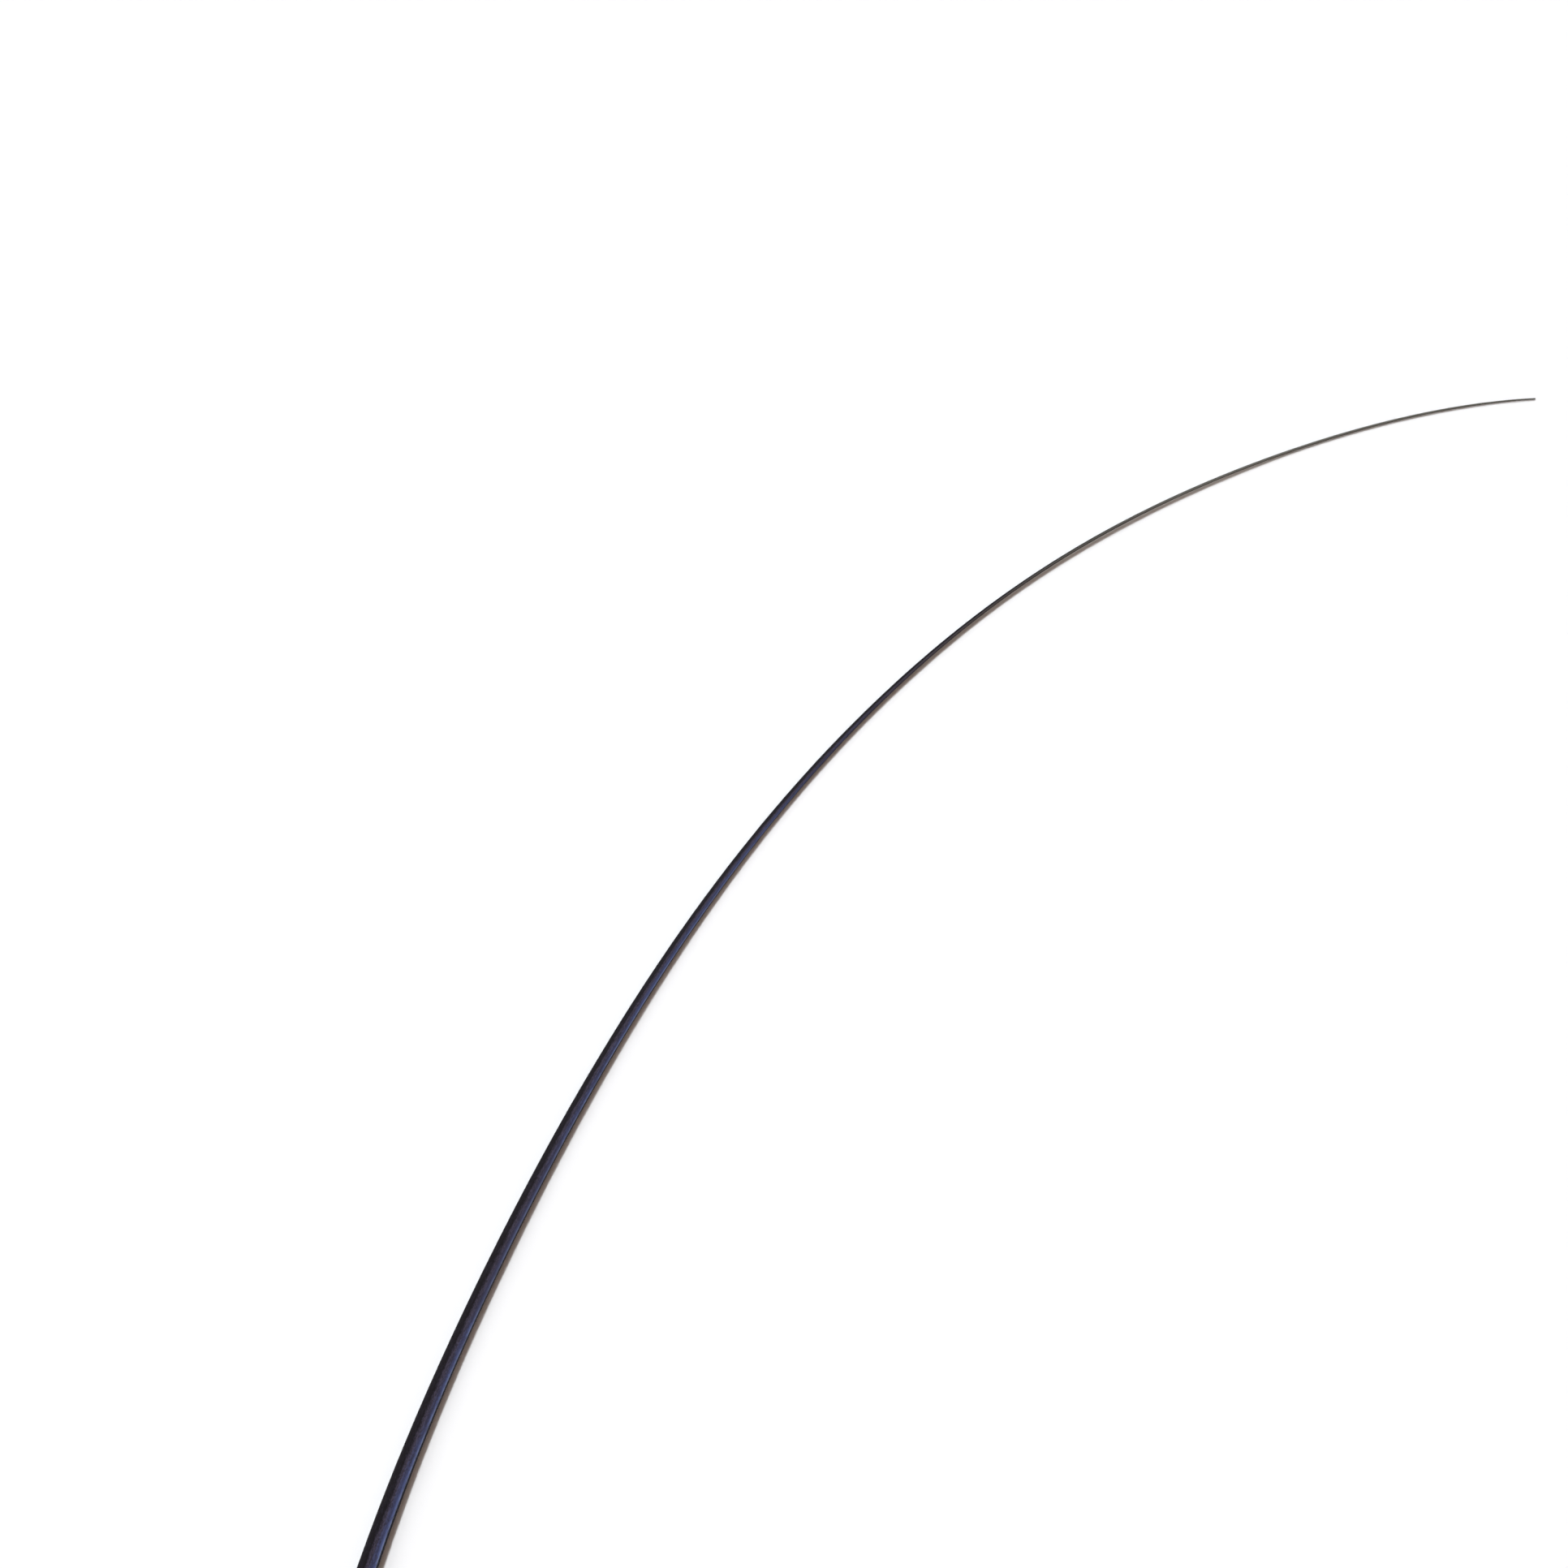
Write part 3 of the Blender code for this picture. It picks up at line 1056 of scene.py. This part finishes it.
@dataclass(frozen=True)
class TornKeratin:
    """Torn ends of barbs and slivers: the same dye, thinner, over fibrous keratin."""

    dyed: Colour = (0.026, 0.026, 0.046)
    frayed: Colour = (0.230, 0.200, 0.175)
    specular: float = 0.3
    roughness: float = 0.7
    streak_roughness: float = 0.2
    fraying: Fade = Fade(0.0, 0.75)
    breaks: Fade = Fade(0.3, 0.6, 0.5, 1.0)

    def material(self, patterns: ShaftPatterns) -> bpy.types.Material:
        """Builds the finish.

        Args:
            patterns: The node groups that follow the shaft.

        Returns:
            The material.
        """
        material, shader = new_finish("torn_keratin", self.specular)
        bench = ShaftBench(material.node_tree, patterns)
        streak = bench.streak(Streaks.FIBRE)
        share = bench.times(bench.step(bench.mark("frayed"), self.fraying), bench.step(streak, self.breaks))
        bench.feed(shader.inputs["Base Color"], bench.dye(share, self.dyed, self.frayed))
        smoothest = self.roughness - self.streak_roughness / 2
        rough = bench.calc("MULTIPLY_ADD", streak, self.streak_roughness, smoothest)
        bench.feed(shader.inputs["Roughness"], rough)
        return material


@dataclass(frozen=True)
class PaleFloor:
    """Plain white card, matt, in which light spreads sideways a little and pales narrow shadows."""

    colour: Colour = (0.82, 0.82, 0.82)
    specular: float = 0.0
    roughness: float = 0.9
    light_spread: float = 0.75 * MM

    def material(self) -> bpy.types.Material:
        """Builds the finish.

        Returns:
            The material.
        """
        material, shader = new_finish("pale_floor", self.specular)
        shader.inputs["Base Color"].default_value = (*self.colour, 1.0)
        shader.inputs["Roughness"].default_value = self.roughness
        shader.subsurface_method = "BURLEY"
        shader.inputs["Subsurface Weight"].default_value = 1.0
        shader.inputs["Subsurface Radius"].default_value = (1.0, 1.0, 1.0)
        shader.inputs["Subsurface Scale"].default_value = self.light_spread
        return material


@dataclass
class QuillSkin:
    """The skin of the whole quill: one closed sheet wrapped round the shaft, hole and ends included."""

    form: QuillForm
    hole: BlindHole = BlindHole()
    columns: int = 48
    main_rows: int = 1985
    sheet_half: float = 0.5
    side_angles: SmoothCurve = SmoothCurve(((0.0, 0.0), (0.42, 108.0), (0.83, 156.0), (1.0, 180.0)))
    row_places: SmoothCurve = SmoothCurve((
        (0.0, 0.0), (0.01, 0.7), (0.26, 92.0), (0.88, 330.0), (0.996, 449.84), (1.0, 450.0),
    ))
    seam_gap: float = 0.001 * MM
    bake_strips: int = 8
    bake_gutter: float = 0.004

    @cached_property
    def angles(self) -> list[float]:
        """Angles of the columns, closest together on the ridges beside the groove."""
        half = self.columns // 2
        shares = [(i - half) / half for i in range(self.columns + 1)]
        return [math.copysign(self.side_angles.at(abs(share)), share) for share in shares]

    @cached_property
    def rows(self) -> list[Row]:
        """Places of the rows, from the bottom of the hole to the tip, with the hole's radii."""
        shares = [i / self.main_rows for i in range(self.main_rows + 1)]
        return [*self.hole.rows(), *[(self.row_places.at(share) * MM, None) for share in shares]]

    def build(self, patterns: ShaftPatterns) -> bpy.types.Object:
        """Models and dresses the skin.

        Args:
            patterns: The node groups that follow the shaft.

        Returns:
            The finished piece.
        """
        shape = bmesh.new()
        shaft_map = shape.loops.layers.uv.new(SHAFT_MAP)
        last_row = len(self.rows) - 1
        bmesh.ops.create_grid(
            shape, x_segments=self.columns, y_segments=last_row, size=self.sheet_half, calc_uvs=True,
        )
        self.lay_maps(shape, shaft_map)
        self.wrap(shape)
        bmesh.ops.remove_doubles(shape, verts=shape.verts, dist=self.seam_gap)
        rims = [edge for edge in shape.edges if edge.is_boundary]
        bmesh.ops.edgeloop_fill(shape, edges=rims)
        bmesh.ops.recalc_face_normals(shape, faces=shape.faces)
        return finished_piece("quill_skin", shape, DyedKeratin().material(patterns))

    def lay_maps(self, shape: Shape, shaft_map: bmesh.types.BMLayerItem) -> None:
        """Gives each corner its angle and place on the shaft, and a spot on a map of side-by-side strips.

        Args:
            shape: The flat sheet.
            shaft_map: The map that the finishes read.
        """
        bake_map = shape.loops.layers.uv.new(BAKE_MAP)
        last_row = len(self.rows) - 1
        rows_in_strip = math.ceil(last_row / self.bake_strips)
        for face in shape.faces:
            first_row = round(min(corner[shaft_map].uv.y for corner in face.loops) * last_row)
            strip = first_row // rows_in_strip
            for corner in face.loops:
                u, v = corner[shaft_map].uv
                row = round(v * last_row)
                along, hole_radius = self.rows[row]
                inside = -1 if hole_radius else 1
                angle = self.angles[round(u * self.columns)]
                corner[shaft_map].uv = shaft_spot(angle, inside * along, self.form.length)
                across = self.bake_gutter + u * (1 - 2 * self.bake_gutter * self.bake_strips)
                onward = (row - strip * rows_in_strip) / rows_in_strip
                inset = self.bake_gutter + onward * (1 - 2 * self.bake_gutter)
                corner[bake_map].uv = ((strip + across) / self.bake_strips, inset)

    def wrap(self, shape: Shape) -> None:
        """Wraps the flat sheet round the shaft, and notes where it has ring crests and torn keratin.

        Args:
            shape: The flat sheet.
        """
        crest = shape.verts.layers.float.new("crest")
        torn = shape.verts.layers.float.new("torn")
        sheet = [[None] * (self.columns + 1) for _ in self.rows]
        for vert in shape.verts:
            column = round((vert.co.x + self.sheet_half) * self.columns)
            row = round((vert.co.y + self.sheet_half) * (len(self.rows) - 1))
            sheet[row][column] = vert
        for verts, (along, hole_radius) in zip(sheet, self.rows):
            reach = (lambda _, radius=hole_radius: radius) if hole_radius else self.form.radius(along)
            points = self.form.section(along, self.angles, reach)
            crests = self.form.rings.crests(along)
            ledges = [ledge.across(along, 0.0) for ledge in self.form.ledges]
            for vert, angle, point in zip(verts, self.angles, points):
                vert.co = point + self.form.offset
                vert[crest] = 0.0 if hole_radius else crests(angle)
                vert[torn] = sum(ledge(angle) for ledge in ledges) / self.form.ledges[0].rise


@dataclass(frozen=True)
class Fibre:
    """One torn fibre: where its root is, its size, how it leans and how its end bends.

    The lean is the angle in degrees between it and the shaft's direction towards the tip. The curl is
    how far its end bends, as a share of its length.
    """

    along: float
    angle: float
    length: float
    radius: float
    lean: float
    curl: float


@dataclass(frozen=True)
class FibreKind:
    """A kind of torn fibre: its usual size, lean and curl, and how uneven a row of it is.

    The drifts are the unevenness of place, angle, size and lean along the row. Each has its lane and
    its number of wave lengths from one fibre to the next.
    """

    length: float
    radius: float
    lean: float
    curl: float
    size_waver: float
    lean_waver: float
    lane: float
    drifts: tuple[tuple[int, float], ...]

    def uneven(self, number: int, flank: Flank) -> tuple[float, ...]:
        """Unevenness of one fibre in its row.

        Args:
            number: Its number in the row.
            flank: The flank that the row is on.

        Returns:
            The unevenness of its place and its angle, its size as a factor, and its lean.
        """
        lane = flank.value * self.lane
        shift, turn, size, lean = (ripple(number * rate, lane + step) for step, rate in self.drifts)
        return shift, turn, 1 + self.size_waver * size, self.lean + self.lean_waver * lean


@dataclass
class TornBarbs:
    """What the stripping left along the flanks: short stubs of barbs, and slivers at the ledges."""

    form: QuillForm
    stub: FibreKind = FibreKind(
        length=0.34 * MM, radius=0.055 * MM, lean=38.0, curl=0.25, size_waver=0.8, lean_waver=16.0,
        lane=3.7, drifts=((0, 0.83), (1, 1.37), (2, 1.91), (3, 0.71)),
    )
    stub_pitch: float = 4.4 * MM
    stub_start: float = 71 * MM
    stub_end: float = 300 * MM
    stub_angle: float = 140.0
    stub_angle_waver: float = 5.0
    stub_full_depth: float = 4 * MM
    sliver: FibreKind = FibreKind(
        length=1.9 * MM, radius=0.045 * MM, lean=172.0, curl=-0.35, size_waver=1.3, lean_waver=8.0,
        lane=9.3, drifts=((0, 1.23), (4, 0.57), (1, 0.93), (2, 1.71)),
    )
    slivers_per_ledge: int = 17
    sliver_spread: float = 1.3
    sliver_scatter: float = 2.2 * MM
    sides: int = 5
    joints: int = 4
    tip_share: float = 0.15
    flatness: float = 0.6
    root_share: float = 1.2

    def build(self, patterns: ShaftPatterns) -> bpy.types.Object:
        """Models and dresses the torn barbs.

        Args:
            patterns: The node groups that follow the shaft.

        Returns:
            The finished piece.
        """
        shape = bmesh.new()
        shape.loops.layers.uv.new(SHAFT_MAP)
        shape.verts.layers.float.new("frayed")
        for fibre in (*self.stubs(), *self.slivers()):
            self.grow(shape, fibre)
        return finished_piece("torn_barbs", shape, TornKeratin().material(patterns))

    def stubs(self) -> list[Fibre]:
        """Lays out the rows of short stubs along both flanks.

        Returns:
            The stubs.
        """
        count = round((self.stub_end - self.stub_start) / self.stub_pitch)
        fibres = []
        for flank in Flank:
            for i in range(count):
                shift, turn, size, lean = self.stub.uneven(i, flank)
                along = self.stub_start + (i + 0.5 + shift) * self.stub_pitch
                angle = flank.value * (self.stub_angle + self.stub_angle_waver * turn)
                size *= self.form.depth.at(along / MM) * MM / self.stub_full_depth
                length, radius = size * self.stub.length, size * self.stub.radius
                fibres.append(Fibre(along, angle, length, radius, lean, self.stub.curl))
        return fibres

    def slivers(self) -> list[Fibre]:
        """Lays out the slivers that stand off the torn lips of the ledges and point to the base.

        Returns:
            The slivers.
        """
        middle = (self.slivers_per_ledge - 1) / 2
        fibres = []
        for ledge in self.form.ledges:
            spacing = self.sliver_spread * ledge.half_width / middle
            for i in range(self.slivers_per_ledge):
                shift, turn, size, lean = self.sliver.uneven(i, ledge.flank)
                along = ledge.start + ledge.lip + self.sliver_scatter * abs(shift)
                angle = ledge.flank.value * (ledge.angle + (i - middle + turn) * spacing)
                length, radius = size * self.sliver.length, size ** 0.5 * self.sliver.radius
                fibres.append(Fibre(along, angle, length, radius, lean, self.sliver.curl))
        return fibres

    def grow(self, shape: Shape, fibre: Fibre) -> None:
        """Grows one tapered, curved fibre from the skin, unless the floor is in its way.

        Args:
            shape: The mesh that it is added to.
            fibre: The fibre.
        """
        hair = bmesh.new()
        shaft_map = hair.loops.layers.uv.new(SHAFT_MAP)
        frayed = hair.verts.layers.float.new("frayed")
        length = fibre.length
        bmesh.ops.create_cone(
            hair, cap_ends=True, segments=self.sides, radius1=fibre.radius,
            radius2=self.tip_share * fibre.radius, depth=length,
            matrix=Matrix.Translation((0.0, 0.0, length / 2)),
        )
        rails = [edge for edge in hair.edges if abs(edge.verts[0].co.z - edge.verts[1].co.z) > length / 2]
        bmesh.ops.subdivide_edges(hair, edges=rails, cuts=self.joints, use_grid_fill=True)
        for vert in hair.verts:
            share = vert.co.z / length
            vert[frayed] = share
            vert.co.y = vert.co.y * self.flatness + fibre.curl * length * share ** 2
        for face in hair.faces:
            for corner in face.loops:
                corner[shaft_map].uv = shaft_spot(fibre.angle, fibre.along, self.form.length)
        bmesh.ops.transform(hair, matrix=self.stance(fibre), verts=hair.verts)
        lowest = min(vert.co.z for vert in hair.verts)
        if lowest > 0:
            piece = bpy.data.meshes.new("fibre")
            hair.to_mesh(piece)
            shape.from_mesh(piece)
            bpy.data.meshes.remove(piece)
        hair.free()

    def stance(self, fibre: Fibre) -> Matrix:
        """Matrix that takes +Z to a fibre's direction and stands the fibre on the skin.

        Args:
            fibre: The fibre.

        Returns:
            The matrix, which leaves the root a little way inside the skin.
        """
        along = fibre.along
        root = self.form.section(along, [fibre.angle], self.form.radius(along))[0] + self.form.offset
        point, heading = self.form.bow.place(along)
        forward = Vector((math.cos(heading), math.sin(heading), 0.0))
        centre = Vector((point.x, point.y, self.form.centre_height(along))) + self.form.offset
        outward = (root - centre).normalized()
        turn = math.radians(fibre.lean)
        direction = forward * math.cos(turn) + outward * math.sin(turn)
        width = forward.cross(outward).normalized()
        turned = Matrix((width, direction.cross(width), direction)).transposed().to_4x4()
        return Matrix.Translation(root - outward * self.root_share * fibre.radius) @ turned


@dataclass(frozen=True)
class Lamp:
    """A distant lamp, placed by its heading and its height over the photograph's picture plane."""

    name: str
    strength: float
    spread: float
    heading: float
    elevation: float


@dataclass
class Studio:
    """Pale floor, soft light from one side, and the camera that looks straight down on the quill."""

    form: QuillForm
    floor_half_size: float = 12.0
    floor_drop: float = 0.05 * MM
    chord_turn: float = 55.5
    tip_from_middle: tuple[float, float] = (133.92 * MM, 68.66 * MM)
    camera_height: float = 659.9 * MM
    focal_length: float = 85.0
    sensor_width: float = 36.0
    lamps: tuple[Lamp, ...] = (
        Lamp("key_light", strength=3.70, spread=1.4, heading=96.0, elevation=46.0),
        Lamp("soft_light", strength=0.30, spread=34.0, heading=96.0, elevation=46.0),
        Lamp("side_light", strength=0.9, spread=36.0, heading=150.0, elevation=40.0),
    )
    lamp_colour: Colour = (0.90, 0.955, 1.0)
    surroundings: Colour = (0.268, 0.200, 0.164)
    backdrop: Colour = (1.0, 1.0, 1.0)

    def build(self) -> None:
        """Sets the whole stage."""
        self.lay_floor()
        for lamp in self.lamps:
            self.hang(lamp)
        self.light_room()
        self.aim_camera()
        bpy.context.scene.view_settings.view_transform = "Standard"

    def lay_floor(self) -> None:
        """Lays the plain floor just under the quill."""
        shape = bmesh.new()
        bmesh.ops.create_grid(shape, x_segments=1, y_segments=1, size=self.floor_half_size)
        bmesh.ops.translate(shape, vec=(0.0, 0.0, -self.floor_drop), verts=shape.verts)
        set_down("floor", dressed_mesh("floor", shape, PaleFloor().material()))

    def hang(self, lamp: Lamp) -> None:
        """Hangs one distant lamp.

        Args:
            lamp: Which lamp.
        """
        light = bpy.data.lights.new(lamp.name, "SUN")
        light.energy = lamp.strength
        light.angle = math.radians(lamp.spread)
        light.color = self.lamp_colour
        holder = set_down(lamp.name, light)
        heading = math.radians(lamp.heading - self.chord_turn)
        rise = math.radians(lamp.elevation)
        level = math.cos(rise)
        towards = Vector((math.cos(heading) * level, math.sin(heading) * level, math.sin(rise)))
        holder.rotation_euler = towards.to_track_quat("Z", "Y").to_euler()
        holder.location = towards

    def light_room(self) -> None:
        """Dim warm light from all round, in front of a backdrop that the camera sees as white."""
        world = bpy.data.worlds.new("studio")
        world.use_nodes = True
        bpy.context.scene.world = world
        bench = NodeBench(world.node_tree)
        background = world.node_tree.nodes["Background"]
        seen = bench.add("LightPath", {}).outputs["Is Camera Ray"]
        bench.feed(background.inputs["Color"], bench.dye(seen, self.surroundings, self.backdrop))

    def aim_camera(self) -> None:
        """Puts the camera over the floor, with the tip where the photograph has it."""
        tip, _ = self.form.bow.place(self.form.length)
        turn = Matrix.Rotation(-math.radians(self.chord_turn), 2)
        middle = tip + self.form.offset.xy - turn @ Vector(self.tip_from_middle)
        lens = bpy.data.cameras.new("camera")
        lens.lens = self.focal_length
        lens.sensor_width = self.sensor_width
        camera = set_down("camera", lens)
        camera.location = (middle.x, middle.y, self.camera_height)
        camera.rotation_euler = (0.0, 0.0, -math.radians(self.chord_turn))
        bpy.context.scene.camera = camera


def set_down(name: str, data: bpy.types.ID) -> bpy.types.Object:
    """Puts a mesh, lamp or camera into the scene as an object."""
    thing = bpy.data.objects.new(name, data)
    bpy.context.collection.objects.link(thing)
    return thing


def dressed_mesh(name: str, shape: Shape, material: bpy.types.Material) -> bpy.types.Mesh:
    """Turns a shape into a mesh with its finish.

    Args:
        name: The mesh's name.
        shape: The shape, which is freed.
        material: Its finish.

    Returns:
        The mesh.
    """
    mesh = bpy.data.meshes.new(name)
    shape.to_mesh(mesh)
    shape.free()
    mesh.materials.append(material)
    return mesh


def finished_piece(name: str, shape: Shape, material: bpy.types.Material) -> bpy.types.Object:
    """Turns a shape into a smooth, dressed piece that rides on the quill's body.

    Args:
        name: The piece's name.
        shape: The shape, which is freed.
        material: Its finish.

    Returns:
        The piece.
    """
    mesh = dressed_mesh(name, shape, material)
    mesh.shade_smooth()
    mesh.set_sharp_from_angle(angle=math.radians(SHARP_ANGLE))
    piece = set_down(name, mesh)
    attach(piece, BODY)
    return piece


def main() -> None:
    """Builds the stage and the quill, and notes the sizes of both models."""
    logging.basicConfig(level=logging.INFO, format="%(message)s")
    log = logging.getLogger("quill")
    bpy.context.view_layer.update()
    form = QuillForm()
    Studio(form).build()
    patterns = ShaftPatterns()
    skin = QuillSkin(form).build(patterns)
    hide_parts(NODE)
    barbs = TornBarbs(form).build(patterns)
    for piece in (skin, barbs):
        piece.data.calc_loop_triangles()
        log.info("%s: %d triangles", piece.name, len(piece.data.loop_triangles))


if __name__ == "__main__":
    main()
